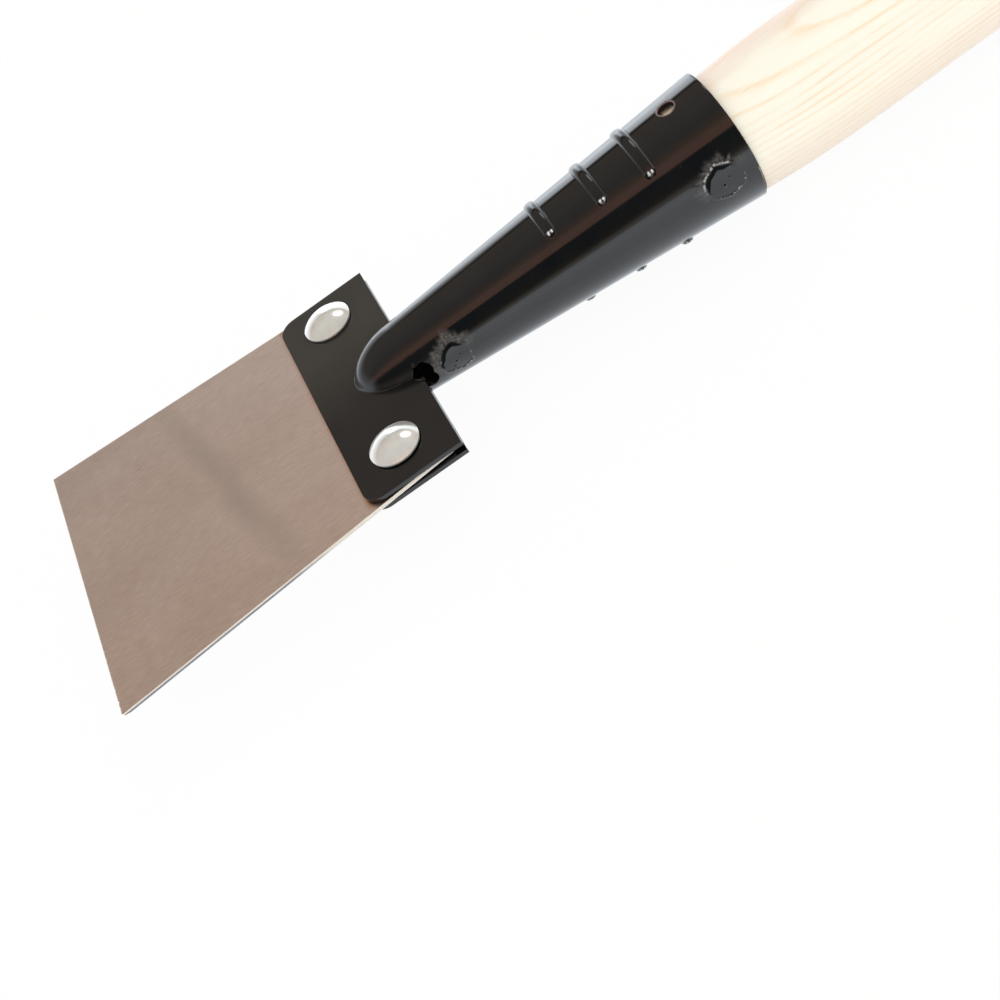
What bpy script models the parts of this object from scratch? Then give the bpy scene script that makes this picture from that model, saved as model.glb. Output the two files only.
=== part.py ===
# A bark spud: a flared steel blade riveted between the plates of a two-half pressed socket, on an ash handle.
# Metres, +Z up. X runs along the tool towards the handle's end and Y across the blade.
# The origin is on the blade's upper face, midway across it and midway along its free length.

import math

import bmesh
import bpy

# Blade
FREE_LENGTH = 0.080            # from the cutting edge to the plates' front edge
BLADE_THICKNESS = 0.0012
EDGE_HALF_WIDTH = 0.0508       # at the cutting edge
NECK_HALF_WIDTH = 0.0436       # at the plates' front edge
BLADE_SETBACK = 0.003          # the blade's rear end lies this far in front of the plates' rear edge
GRIND_ANGLE = math.radians(15)  # cutting edge, ground from below
EDGE_LAND = 0.0003             # thickness left at the cutting edge
SIDE_CHAMFER = 0.0004

# Pressed sheet: the two plates and the two half sockets
SHEET = 0.0014
PLATE_DEPTH = 0.0284           # along X
PLATE_HALF_WIDTH = 0.0428
PLATE_CORNER = 0.005
SOCKET_LENGTH = 0.1017         # from the plates' rear edge to the mouth
THROAT_RADIUS = 0.01085        # outside, at the plates' rear edge
MOUTH_RADIUS = 0.019           # outside
NOSE_LENGTH = 0.0167           # how far the socket's nose reaches forward over the plates
NOSE_FILLET = 0.0015
RELIEF_RADIUS = 0.0029         # holes where the plates' rear edge meets the socket

# Stiffening ribs, pressed outwards across the crown of each half
RIB_PLACES = (0.0483, 0.0637, 0.0776)       # from the plates' rear edge
RIB_HALF_LENGTHS = (0.0090, 0.0111, 0.0135)  # along the surface, from the crown
RIB_HALF_WIDTH = 0.00165
RIB_HEIGHT = 0.0008

# Rivets
RIVET_INSET = 0.0127           # from the plates' sides
RIVET_SETBACK = 0.0150         # from the plates' rear edge
SHANK_RADIUS = 0.0032
HEAD_RADIUS = 0.0072
HEAD_RIM = 0.0007              # upright, below the head's dome
HEAD_DOME = 0.0026
TAIL_RADIUS = 0.0058
TAIL_HEIGHT = 0.0022

# Handle and its screw
HANDLE_LENGTH = 1.219
HANDLE_RADIUS = 0.0183
TENON_SETBACK = 0.0197         # from the plates' rear edge to the tenon's end
TENON_CHAMFER = 0.0014
SHOULDER_STEP = 0.00015        # how far the handle stands out past the mouth's inside
SWELL_LENGTH = 0.022           # from the mouth to the full radius
END_ROUND = 0.012
SCREW_HOLE_RADIUS = 0.0029     # in each half socket
SCREW_SETBACK = 0.011          # from the mouth
SCREW_RADIUS = 0.0022
SCREW_LENGTH = 0.025
SCREW_HEAD_RADIUS = 0.0044
SCREW_HEAD_HEIGHT = 0.0024
SCREW_POINT = 0.005
RECESS_WIDTH = 0.0011
RECESS_REACH = 0.0023          # half the length of each arm of the cross recess
RECESS_DEPTH = 0.0014

GAP = 0.0003                   # left between neighbouring pieces

# Places worked out from the sizes above
EDGE_X = -FREE_LENGTH / 2
PLATE_FRONT_X = FREE_LENGTH / 2
REAR_X = PLATE_FRONT_X + PLATE_DEPTH
MOUTH_X = REAR_X + SOCKET_LENGTH
AXIS_Z = -BLADE_THICKNESS / 2
PLATE_OUTSIDE = BLADE_THICKNESS / 2 + GAP + SHEET   # a plate's outer face, from the axis
RIVET_X = REAR_X - RIVET_SETBACK
RIVET_Y = PLATE_HALF_WIDTH - RIVET_INSET
SCREW_X = MOUTH_X - SCREW_SETBACK
SHOULDER_RADIUS = MOUTH_RADIUS - SHEET + SHOULDER_STEP
BASE_ANGLE = math.asin(PLATE_OUTSIDE / THROAT_RADIUS)  # where the throat meets the plate

# How finely the curved forms are divided
ARC_COLUMNS = 26               # over a half socket from one side to the other
SIDE_COLUMNS = 2               # down each of its sides
COLUMN_SPREAD = 0.0055         # the columns stay this wide over the nose's tip
NOSE_ROWS = 9
TAPER_ROWS = 5                 # from the throat to the first rib
ROW_MARGIN = 0.001             # between a form's end and the row beside it
HOLE_FACETS = 32
PILOT_FACETS = 24
BALL_FACETS = (20, 12)
RIVET_FACETS = 28
HANDLE_FACETS = 40
SCREW_FACETS = 20

SIDE_START = 0.002             # the half sockets' sides begin this far behind the plates' rear edge
SIDE_REACH = BASE_ANGLE / 2    # how far past the middle they are formed before they are trimmed there
FAR = 0.01                     # how far a cutter reaches past what it cuts
SAME_PLACE = 0.00001           # points closer than this are at one place


def clear_scene():
    for obj in list(bpy.data.objects):
        bpy.data.objects.remove(obj, do_unlink=True)


def new_collection(name, hidden=False):
    collection = bpy.data.collections.new(name)
    bpy.context.scene.collection.children.link(collection)
    collection.hide_render = hidden
    return collection


def new_material(name, colour, roughness, metallic):
    material = bpy.data.materials.new(name)
    material.use_nodes = True
    shader = material.node_tree.nodes["Principled BSDF"]
    shader.inputs["Base Color"].default_value = (*colour, 1)
    shader.inputs["Roughness"].default_value = roughness
    shader.inputs["Metallic"].default_value = metallic
    return material


def add_object(name, bm, collection, material=None):
    """An object holding the bmesh, which is used up."""
    mesh = bpy.data.meshes.new(name)
    bm.to_mesh(mesh)
    bm.free()
    if material:
        mesh.materials.append(material)
    obj = bpy.data.objects.new(name, mesh)
    collection.objects.link(obj)
    return obj


def make_cutter(name, bm, cutters):
    obj = add_object(name, bm, cutters)
    obj.hide_render = True
    obj.display_type = "WIRE"
    return obj


def cut(obj, *tools):
    for tool in tools:
        modifier = obj.modifiers.new("Cut " + tool.name, "BOOLEAN")
        modifier.operation = "DIFFERENCE"
        modifier.solver = "EXACT"
        modifier.object = tool


def shade_round(obj, angle=math.radians(35)):
    obj.data.shade_smooth()
    obj.data.set_sharp_from_angle(angle=angle)


def turned(name, profile, collection, material, steps):
    """A body turned about its own Z from a profile of (radius, height) points, listed from the top down."""
    bm = bmesh.new()
    points = [bm.verts.new((radius, 0, height)) for radius, height in profile]
    for upper, lower in zip(points, points[1:]):
        bm.edges.new((upper, lower))
    obj = add_object(name, bm, collection, material)
    screw = obj.modifiers.new("Turn", "SCREW")
    screw.steps = screw.render_steps = steps
    screw.use_merge_vertices = True
    screw.merge_threshold = 0.00001
    screw.use_smooth_shade = True
    return obj


def upright_cylinder(name, radius, x, y, bottom, top, cutters, segments=HOLE_FACETS):
    bm = bmesh.new()
    bmesh.ops.create_cone(bm, cap_ends=True, segments=segments, radius1=radius, radius2=radius,
                          depth=top - bottom)
    bmesh.ops.translate(bm, verts=bm.verts, vec=(x, y, (top + bottom) / 2))
    return make_cutter(name, bm, cutters)


def box_cutter(name, low, high, cutters):
    """A box between two opposite corners."""
    bm = bmesh.new()
    bmesh.ops.create_cube(bm, size=1)
    bmesh.ops.scale(bm, verts=bm.verts, vec=[b - a for a, b in zip(low, high)])
    bmesh.ops.translate(bm, verts=bm.verts, vec=[(a + b) / 2 for a, b in zip(low, high)])
    return make_cutter(name, bm, cutters)


def socket_radius(x):
    """The outside radius at x, which is measured from the plates' rear edge."""
    if x >= 0:
        return THROAT_RADIUS + (MOUTH_RADIUS - THROAT_RADIUS) * x / SOCKET_LENGTH
    return THROAT_RADIUS * math.sqrt(max(0.0, 1 - (x / NOSE_LENGTH) ** 2))


def rib_lift(x, along):
    """How far the ribs stand out at x and at a distance along the surface from the crown."""
    lift = 0.0
    for place, half_length in zip(RIB_PLACES, RIB_HALF_LENGTHS):
        past_straight = max(0.0, abs(along) - (half_length - RIB_HALF_WIDTH))
        off_centre = math.hypot(x - place, past_straight) / RIB_HALF_WIDTH
        if off_centre < 1:
            lift = RIB_HEIGHT * math.sqrt(1 - off_centre ** 2)
    return lift


def tube_point(x, angle):
    """(y, z) from the axis, on the outside of a half socket, at an angle above the middle."""
    radius = socket_radius(x)
    radius += rib_lift(x, (math.pi / 2 - angle) * radius)
    return radius * math.cos(angle), radius * math.sin(angle)


def nose_point(x, angle):
    """(y, z) from the axis, on a plate or on the nose that swells out of it."""
    radius = socket_radius(x)
    fillet = NOSE_FILLET * min(1.0, -x / SIDE_START)
    base = math.sqrt(max(0.0, radius ** 2 - PLATE_OUTSIDE ** 2))
    spread = max(base + fillet, COLUMN_SPREAD)
    y = spread * math.cos(angle) / math.cos(BASE_ANGLE)
    above = math.sqrt(max(0.0, radius ** 2 - y ** 2)) - PLATE_OUTSIDE
    if fillet and abs(above) < fillet:
        above = (above + fillet) ** 2 / (4 * fillet)
    return y, PLATE_OUTSIDE + max(0.0, above)


def plate_rows():
    """Places along X from the plates' front edge to their rear edge, closer together on the nose's tip."""
    nose = [-NOSE_LENGTH * math.sin(math.pi / 2 * i / NOSE_ROWS) for i in range(1, NOSE_ROWS + 1)]
    behind_corner = PLATE_CORNER + ROW_MARGIN - PLATE_DEPTH
    return sorted({-PLATE_DEPTH, behind_corner, -NOSE_LENGTH - ROW_MARGIN, *nose})


def tube_rows():
    """Places along X from the plates' rear edge to the mouth, with rows across each rib."""
    taper = RIB_PLACES[0] - SIDE_START
    rows = {0.0, SIDE_START / 2, SOCKET_LENGTH}
    rows.update(SIDE_START + taper * (i / TAPER_ROWS) ** 2 for i in range(TAPER_ROWS))
    for place in RIB_PLACES:
        rows.update(place + part * RIB_HALF_WIDTH for part in (-1, -0.6, 0, 0.6, 1))
    return sorted(rows)


def half_socket_grid():
    """Rows of (x, points) over one half, each point (y, z) from the axis, or None where the half is cut away.

    A row runs from the far side over the crown to the near side. In front of the folds its outer points are
    the plate's side edges, and behind them they are the half's sides.
    """
    arc = [BASE_ANGLE + (math.pi - 2 * BASE_ANGLE) * i / ARC_COLUMNS for i in range(ARC_COLUMNS + 1)]
    side = [BASE_ANGLE - (BASE_ANGLE + SIDE_REACH) * i / SIDE_COLUMNS for i in range(SIDE_COLUMNS, 0, -1)]
    none = [None] * SIDE_COLUMNS
    far_edge = none[1:] + [(PLATE_HALF_WIDTH, PLATE_OUTSIDE)]
    near_edge = [(-PLATE_HALF_WIDTH, PLATE_OUTSIDE)] + none[1:]
    grid = [(x, far_edge + [nose_point(x, angle) for angle in arc] + near_edge) for x in plate_rows()]
    for x in tube_rows():
        crown = [tube_point(x, angle) for angle in arc]
        if x >= SIDE_START:
            far_side = [tube_point(x, angle) for angle in side]
            near_side = [tube_point(x, math.pi - angle) for angle in reversed(side)]
            grid.append((x, far_side + crown + near_side))
        elif x == 0:
            grid.append((x, far_edge + crown + near_edge))
        else:
            grid.append((x, none + crown + none))
    return grid


def half_socket_surface(up):
    """The outer face of one half, lofted through its rows: its crown is on top where up is 1, else below."""
    bm = bmesh.new()
    grid = half_socket_grid()
    verts = [[p and bm.verts.new((REAR_X + x, p[0], AXIS_Z + up * p[1])) for p in points]
             for x, points in grid]
    folds = (SIDE_COLUMNS - 1, SIDE_COLUMNS + ARC_COLUMNS)  # between the crown and each edge or side
    for (x, points), front, back in zip(grid, verts, verts[1:]):
        for column in range(len(points) - 1):
            open_fold = column in folds and 0 <= x < SIDE_START
            corners = [front[column], front[column + 1], back[column + 1], back[column]]
            if None not in corners and not open_fold:
                bm.faces.new(corners if up > 0 else corners[::-1])
    bmesh.ops.delete(bm, geom=[v for v in bm.verts if not v.link_faces], context="VERTS")
    return bm


def round_plate_corners(bm):
    corners = [v for v in bm.verts
               if v.co.x < PLATE_FRONT_X + SAME_PLACE and abs(v.co.y) > PLATE_HALF_WIDTH - SAME_PLACE]
    bmesh.ops.bevel(bm, geom=corners, offset=PLATE_CORNER, offset_type="OFFSET", segments=6, profile=0.5,
                    affect="VERTICES")


def make_half_socket(name, up, collection, material, tools):
    """One pressing, with its plate, nose, taper and ribs, trimmed along the middle."""
    bm = half_socket_surface(up)
    round_plate_corners(bm)
    obj = add_object(name, bm, collection, material)
    shell = obj.modifiers.new("Sheet", "SOLIDIFY")
    shell.thickness = SHEET
    shell.offset = -1
    shell.use_even_offset = True
    shell.use_quality_normals = True
    cut(obj, *tools)
    shade_round(obj)
    return obj


def relief_cutters(up, word, cutters):
    """A ball at each end of the fold between plate and socket leaves a round hole bent over the corner."""
    tools = []
    for side, side_word in ((1, "far"), (-1, "near")):
        bm = bmesh.new()
        around, up_and_down = BALL_FACETS
        bmesh.ops.create_uvsphere(bm, u_segments=around, v_segments=up_and_down, radius=RELIEF_RADIUS)
        place = (REAR_X + SHEET / 2, side * THROAT_RADIUS, AXIS_Z + up * (PLATE_OUTSIDE - SHEET / 2))
        bmesh.ops.translate(bm, verts=bm.verts, vec=place)
        tools.append(make_cutter(f"relief_{word}_{side_word}", bm, cutters))
    return tools


def trim_cutter(up, word, cutters):
    """What is trimmed off a half's sides, so that the halves meet flush along the middle."""
    low, high = sorted((AXIS_Z + up * GAP / 2, AXIS_Z - up * THROAT_RADIUS))
    reach = MOUTH_RADIUS + FAR
    return box_cutter(f"trim_{word}", (REAR_X, -reach, low), (MOUTH_X + FAR, reach, high), cutters)


def rivet_hole_cutters(cutters):
    radius = SHANK_RADIUS + GAP
    return [upright_cylinder(f"rivet_hole_{word}", radius, RIVET_X, side * RIVET_Y, -FAR, FAR, cutters)
            for side, word in ((1, "far"), (-1, "near"))]


def make_blade(collection, material, tools):
    bm = bmesh.new()
    bmesh.ops.create_cube(bm, size=1)
    flare = (EDGE_HALF_WIDTH - NECK_HALF_WIDTH) / FREE_LENGTH
    rear_x = REAR_X - BLADE_SETBACK
    for vert in bm.verts:
        vert.co.x = EDGE_X if vert.co.x < 0 else rear_x
        half_width = EDGE_HALF_WIDTH - flare * (vert.co.x - EDGE_X)
        vert.co.y = math.copysign(half_width, vert.co.y)
        vert.co.z = 0 if vert.co.z > 0 else -BLADE_THICKNESS
    sides = [e for e in bm.edges
             if all(v.co.z == 0 for v in e.verts) and e.verts[0].co.y * e.verts[1].co.y > 0]
    bmesh.ops.bevel(bm, geom=sides, offset=SIDE_CHAMFER, segments=1, affect="EDGES")
    outward = (-math.sin(GRIND_ANGLE), 0, -math.cos(GRIND_ANGLE))
    ground = bmesh.ops.bisect_plane(bm, geom=[*bm.verts, *bm.edges, *bm.faces],
                                    plane_co=(EDGE_X, 0, -EDGE_LAND), plane_no=outward, clear_outer=True)
    bmesh.ops.edgenet_fill(bm, edges=[e for e in ground["geom_cut"] if isinstance(e, bmesh.types.BMEdge)])
    # A line across both faces divides the free blade from the tang that the plates cover.
    bmesh.ops.bisect_plane(bm, geom=[*bm.verts, *bm.edges, *bm.faces],
                           plane_co=(PLATE_FRONT_X - GAP, 0, 0), plane_no=(1, 0, 0))
    bmesh.ops.recalc_face_normals(bm, faces=bm.faces)
    obj = add_object("blade", bm, collection, material)
    cut(obj, *tools)
    return obj


def dome(radius, height, base, steps):
    """Profile points of a domed head from its top down to its rim, standing on a base height."""
    ball = (radius ** 2 + height ** 2) / (2 * height)
    edge = math.asin(radius / ball) if height < radius else math.pi / 2
    return [(ball * math.sin(edge * i / steps), base + height - ball + ball * math.cos(edge * i / steps))
            for i in range(steps + 1)]


def make_rivet(name, y, collection, material):
    """A domed head on the upper plate, its shank through plates and blade, and the tail formed below."""
    seat = PLATE_OUTSIDE + GAP
    head = dome(HEAD_RADIUS, HEAD_DOME, seat + HEAD_RIM, 6)
    tail = [(radius, -z) for radius, z in reversed(dome(TAIL_RADIUS, TAIL_HEIGHT, seat, 4))]
    profile = head + [(HEAD_RADIUS, seat), (SHANK_RADIUS, seat), (SHANK_RADIUS, -seat)] + tail
    obj = turned(name, profile, collection, material, RIVET_FACETS)
    obj.location = (RIVET_X, y, AXIS_Z)
    return obj


def make_handle(collection, material, screw_hole):
    """A turned ash pole: its tapered tenon fills the socket, and it swells a little outside the mouth."""
    tenon_length = SOCKET_LENGTH - TENON_SETBACK

    def tenon_radius(x):
        return socket_radius(x) - SHEET - GAP

    profile = [(0, HANDLE_LENGTH)]
    profile += [(HANDLE_RADIUS - END_ROUND * (1 - math.sin(a)), HANDLE_LENGTH - END_ROUND * (1 - math.cos(a)))
                for a in (math.pi / 2 * i / 5 for i in range(6))]
    for i in range(5):
        t = 1 - i / 4
        swell = SHOULDER_RADIUS + (HANDLE_RADIUS - SHOULDER_RADIUS) * math.sin(math.pi / 2 * t)
        profile.append((swell, tenon_length + GAP + (SWELL_LENGTH - GAP) * t))
    profile.append((tenon_radius(SOCKET_LENGTH), tenon_length + GAP))
    profile.append((tenon_radius(TENON_SETBACK + TENON_CHAMFER), TENON_CHAMFER))
    profile.append((tenon_radius(TENON_SETBACK) - TENON_CHAMFER, 0))
    profile.append((0, 0))
    obj = turned("handle", profile, collection, material, HANDLE_FACETS)
    obj.location = (REAR_X + TENON_SETBACK, 0, AXIS_Z)
    obj.rotation_euler.y = math.pi / 2
    cut(obj, screw_hole)
    return obj


def make_screw(collection, material, cutters):
    """A wood screw driven up through the lower half socket into the handle."""
    lowest = socket_radius(SOCKET_LENGTH - SCREW_SETBACK + SCREW_HEAD_RADIUS)
    head = dome(SCREW_HEAD_RADIUS, SCREW_HEAD_HEIGHT, GAP / 2, 4)
    shank_end = SCREW_POINT - SCREW_LENGTH
    profile = head + [(SCREW_RADIUS, GAP / 2), (SCREW_RADIUS, shank_end), (0, -SCREW_LENGTH)]
    obj = turned("handle_screw", profile, collection, material, SCREW_FACETS)
    obj.location = (SCREW_X, 0, AXIS_Z - lowest)
    obj.rotation_euler.x = math.pi
    top = AXIS_Z - lowest - GAP / 2 - SCREW_HEAD_HEIGHT
    half_width = RECESS_WIDTH / 2
    for word, along, across in (("along", RECESS_REACH, half_width), ("across", half_width, RECESS_REACH)):
        low = (SCREW_X - along, -across, top - FAR)
        cut(obj, box_cutter(f"recess_{word}", low, (SCREW_X + along, across, top + RECESS_DEPTH), cutters))
    return obj


def main():
    clear_scene()
    parts = new_collection("bark_spud")
    cutters = new_collection("cutters", hidden=True)

    ground_steel = new_material("ground_steel", (0.34, 0.28, 0.23), 0.38, 1.0)
    black_paint = new_material("black_paint", (0.012, 0.010, 0.009), 0.22, 0.0)
    zinc_plate = new_material("zinc_plate", (0.72, 0.70, 0.66), 0.2, 1.0)
    ash_wood = new_material("ash_wood", (0.86, 0.74, 0.58), 0.5, 0.0)

    rivet_holes = rivet_hole_cutters(cutters)
    screw_hole_top = upright_cylinder("screw_hole_top", SCREW_HOLE_RADIUS, SCREW_X, 0, AXIS_Z + THROAT_RADIUS,
                                      AXIS_Z + MOUTH_RADIUS + FAR, cutters)
    screw_hole_bottom = upright_cylinder("screw_hole_bottom", SCREW_HOLE_RADIUS, SCREW_X, 0,
                                         AXIS_Z - MOUTH_RADIUS - FAR, AXIS_Z - THROAT_RADIUS, cutters)
    pilot = upright_cylinder("screw_pilot", SCREW_RADIUS + GAP, SCREW_X, 0, AXIS_Z - MOUTH_RADIUS - FAR,
                             AXIS_Z - MOUTH_RADIUS + SCREW_LENGTH + GAP, cutters, PILOT_FACETS)

    make_blade(parts, ground_steel, rivet_holes)
    for name, up, word, screw_hole in (("upper_socket_half", 1, "upper", screw_hole_top),
                                       ("lower_socket_half", -1, "lower", screw_hole_bottom)):
        tools = [trim_cutter(up, word, cutters), *relief_cutters(up, word, cutters), *rivet_holes, screw_hole]
        make_half_socket(name, up, parts, black_paint, tools)
    make_rivet("rivet_far", RIVET_Y, parts, zinc_plate)
    make_rivet("rivet_near", -RIVET_Y, parts, zinc_plate)
    make_handle(parts, ash_wood, pilot)
    make_screw(parts, zinc_plate, cutters)


main()
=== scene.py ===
import math

import bpy
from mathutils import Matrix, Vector, noise


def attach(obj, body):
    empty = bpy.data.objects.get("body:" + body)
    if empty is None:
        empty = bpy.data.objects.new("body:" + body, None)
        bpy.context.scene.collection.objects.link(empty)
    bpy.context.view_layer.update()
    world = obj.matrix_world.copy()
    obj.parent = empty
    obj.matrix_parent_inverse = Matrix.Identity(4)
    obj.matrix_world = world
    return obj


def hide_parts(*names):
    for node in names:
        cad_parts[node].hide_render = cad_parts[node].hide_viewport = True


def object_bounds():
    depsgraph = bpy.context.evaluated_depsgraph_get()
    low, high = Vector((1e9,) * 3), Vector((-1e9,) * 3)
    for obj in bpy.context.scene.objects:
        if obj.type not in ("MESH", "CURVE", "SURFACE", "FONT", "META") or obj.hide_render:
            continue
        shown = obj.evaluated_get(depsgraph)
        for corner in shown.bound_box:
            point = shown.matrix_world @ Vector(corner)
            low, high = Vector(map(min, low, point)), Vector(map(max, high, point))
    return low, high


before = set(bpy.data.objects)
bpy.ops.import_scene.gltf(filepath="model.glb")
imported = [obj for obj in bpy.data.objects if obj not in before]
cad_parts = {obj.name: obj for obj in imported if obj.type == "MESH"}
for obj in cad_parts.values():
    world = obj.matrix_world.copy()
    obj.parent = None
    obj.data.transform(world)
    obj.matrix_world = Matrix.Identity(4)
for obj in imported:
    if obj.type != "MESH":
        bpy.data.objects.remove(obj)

# A bark spud: a flared blade riveted between the plates of a pressed two-half socket, on an ash handle.
# X runs towards the handle's end, Y across the blade, Z up. Metres and degrees.

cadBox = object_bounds()
bpy.ops.object.select_all(action="DESELECT")
scene = bpy.context.scene
scene.view_settings.view_transform = "Standard"

layout = {
    "edgeX": -0.040,        # the cutting edge
    "plateFrontX": 0.040,
    "rearX": 0.0684,        # the plates' rear edge
    "axisZ": -0.0006,       # the middle of the blade's thickness
    "gap": 0.0003,          # between pieces that touch
}


def addNode(tree, kind, sockets=None, **settings):
    node = tree.nodes.new(kind)
    for name, value in settings.items():
        setattr(node, name, value)
    for name, value in (sockets or {}).items():
        if isinstance(value, bpy.types.NodeSocket):
            tree.links.new(value, node.inputs[name])
        else:
            node.inputs[name].default_value = value
    return node


def addRamp(tree, factor, stops):
    ramp = addNode(tree, "ShaderNodeValToRGB", {"Fac": factor})
    while len(ramp.color_ramp.elements) < len(stops):
        ramp.color_ramp.elements.new(0.5)
    for element, (position, colour) in zip(ramp.color_ramp.elements, stops):
        element.position = position
        element.color = (*colour, 1)
    return ramp.outputs["Color"]


def twoTones(tree, factor, tones):
    return addRamp(tree, factor, [(0.35, tones[0]), (0.65, tones[1])])


def stretchedNoise(tree, coordinates, stretch, detail=3.0, roughness=0.6):
    mapping = addNode(tree, "ShaderNodeMapping", {"Vector": coordinates, "Scale": stretch})
    grain = addNode(tree, "ShaderNodeTexNoise", {"Vector": mapping.outputs[0], "Scale": 1.0, "Detail": detail,
                                                 "Roughness": roughness})
    return grain.outputs["Fac"]


def remap(tree, value, fromLow, fromHigh, toLow, toHigh, smooth=False):
    node = addNode(tree, "ShaderNodeMapRange", {"Value": value, "From Min": fromLow, "From Max": fromHigh,
                                                "To Min": toLow, "To Max": toHigh},
                   interpolation_type="SMOOTHSTEP" if smooth else "LINEAR")
    return node.outputs["Result"]


def between(tree, factor, ends):
    # a noise seldom goes beyond 0.3 and 0.7
    return remap(tree, factor, 0.3, 0.7, *ends)


def calculate(tree, operation, first, second=0.0, third=0.0):
    return addNode(tree, "ShaderNodeMath", {0: first, 1: second, 2: third}, operation=operation).outputs[0]


def plus(tree, first, second):
    return calculate(tree, "ADD", first, second)


def times(tree, first, second):
    return calculate(tree, "MULTIPLY", first, second)


def offFrom(tree, value, middle):
    return calculate(tree, "ABSOLUTE", calculate(tree, "SUBTRACT", value, middle))


def splitPlace(tree, coordinates):
    parts = addNode(tree, "ShaderNodeSeparateXYZ", {0: coordinates})
    return parts.outputs["X"], parts.outputs["Y"], parts.outputs["Z"]


def mixColours(tree, factor, first, second, blend="MIX"):
    node = addNode(tree, "ShaderNodeMix", data_type="RGBA", blend_type=blend)
    for index, value in ((0, factor), (6, first), (7, second)):
        if isinstance(value, bpy.types.NodeSocket):
            tree.links.new(value, node.inputs[index])
        else:
            node.inputs[index].default_value = value if index == 0 else (*value, 1)
    return node.outputs[2]


def newMaterial(name, metallic, roughness=0.5):
    material = bpy.data.materials.new(name)
    material.use_nodes = True
    shader = material.node_tree.nodes["Principled BSDF"]
    shader.inputs["Metallic"].default_value = metallic
    shader.inputs["Roughness"].default_value = roughness
    coordinates = addNode(material.node_tree, "ShaderNodeTexCoord").outputs["Object"]
    return material, material.node_tree, shader, coordinates


def linkLook(tree, shader, colour, roughness):
    tree.links.new(colour, shader.inputs["Base Color"])
    tree.links.new(roughness, shader.inputs["Roughness"])


def linkBump(tree, shader, height, strengthAndDistance):
    strength, distance = strengthAndDistance
    bump = addNode(tree, "ShaderNodeBump", {"Height": height, "Strength": strength, "Distance": distance})
    tree.links.new(bump.outputs[0], shader.inputs["Normal"])


def setMode(mode):
    bpy.ops.object.mode_set(mode=mode)


def selectNone():
    bpy.ops.object.select_all(action="DESELECT")


def selectOnly(piece):
    selectNone()
    piece.select_set(True)
    bpy.context.view_layer.objects.active = piece


def pick(piece, kind, test):
    selectOnly(piece)
    setMode("EDIT")
    bpy.ops.mesh.select_mode(type=kind)
    bpy.ops.mesh.select_all(action="DESELECT")
    setMode("OBJECT")
    for item in piece.data.vertices if kind == "VERT" else piece.data.polygons:
        item.select = test(item.co if kind == "VERT" else item.center)
    setMode("EDIT")


def applyAll(piece):
    selectOnly(piece)
    for modifier in list(piece.modifiers):
        bpy.ops.object.modifier_apply(modifier=modifier.name)


def settle(piece):
    selectOnly(piece)
    bpy.ops.object.transform_apply(location=True, rotation=True, scale=True)


def cutWith(piece, tools):
    selectOnly(tools[0])
    for tool in tools[1:]:
        tool.select_set(True)
    if len(tools) > 1:
        bpy.ops.object.join()
    modifier = piece.modifiers.new("Cut", "BOOLEAN")
    modifier.operation = "DIFFERENCE"
    modifier.solver = "EXACT"
    modifier.object = tools[0]
    applyAll(piece)
    bpy.data.objects.remove(tools[0], do_unlink=True)


def bevelSharp(piece, width, segments, leaveOut):
    selectOnly(piece)
    setMode("EDIT")
    bpy.ops.mesh.select_mode(type="EDGE")
    bpy.ops.mesh.select_all(action="DESELECT")
    bpy.ops.mesh.edges_select_sharp(sharpness=math.radians(50))
    setMode("OBJECT")
    points = piece.data.vertices
    for edge in piece.data.edges:
        if edge.select and leaveOut((points[edge.vertices[0]].co + points[edge.vertices[1]].co) / 2):
            edge.select = False
    setMode("EDIT")
    bpy.ops.mesh.bevel(offset=width, segments=segments, affect="EDGES")
    setMode("OBJECT")


def smoothBy(piece, angle=40):
    selectOnly(piece)
    bpy.ops.object.shade_smooth_by_angle(angle=math.radians(angle))
    modifier = piece.modifiers.new("Flat faces first", "WEIGHTED_NORMAL")
    modifier.keep_sharp = True
    applyAll(piece)


def mount(piece, node, slot, *materials):
    piece.name = piece.data.name = node + "_dressed"
    for material in materials:
        piece.data.materials.append(material)
    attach(piece, "root")
    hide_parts(node)


def turnedPiece(profile, segments):
    radius, height = profile[0]
    selectNone()
    bpy.ops.mesh.primitive_circle_add(vertices=segments, radius=radius, fill_type="NGON", location=(0, 0, height))
    piece = bpy.context.object
    setMode("EDIT")
    bpy.ops.mesh.select_all(action="SELECT")
    for (lastRadius, lastHeight), (radius, height) in zip(profile, profile[1:]):
        bpy.ops.mesh.extrude_region_move(TRANSFORM_OT_translate={"value": (0, 0, height - lastHeight)})
        bpy.ops.transform.resize(value=(radius / lastRadius, radius / lastRadius, 1))
    bpy.ops.mesh.select_all(action="SELECT")
    bpy.ops.mesh.normals_make_consistent(inside=False)
    setMode("OBJECT")
    settle(piece)
    return piece


def addPeg(radius, place, depth, vertices=48):
    selectNone()
    bpy.ops.mesh.primitive_cylinder_add(vertices=vertices, radius=radius, depth=depth, location=place)
    return bpy.context.object


def domeProfile(radius, height, base, steps):
    ball = (radius ** 2 + height ** 2) / (2 * height)
    edge = math.asin(radius / ball)
    return [(max(0.0001, ball * math.sin(edge * i / steps)), base + height - ball + ball * math.cos(edge * i / steps))
            for i in range(steps, -1, -1)]


def smoothStep(low, high, value):
    t = min(1.0, max(0.0, (value - low) / (high - low)))
    return t * t * (3 - 2 * t)


viewpoint = {"place": (0.093957, -0.373348, 0.284962), "turn": (0.704447, 0.469669, -0.407764), "lens": 63.27}

bpy.ops.object.camera_add(location=viewpoint["place"], rotation=viewpoint["turn"])
camera = bpy.context.object
camera.data.lens = viewpoint["lens"]
camera.data.sensor_width = 36
camera.data.clip_start = 0.01
scene.camera = camera

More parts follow.
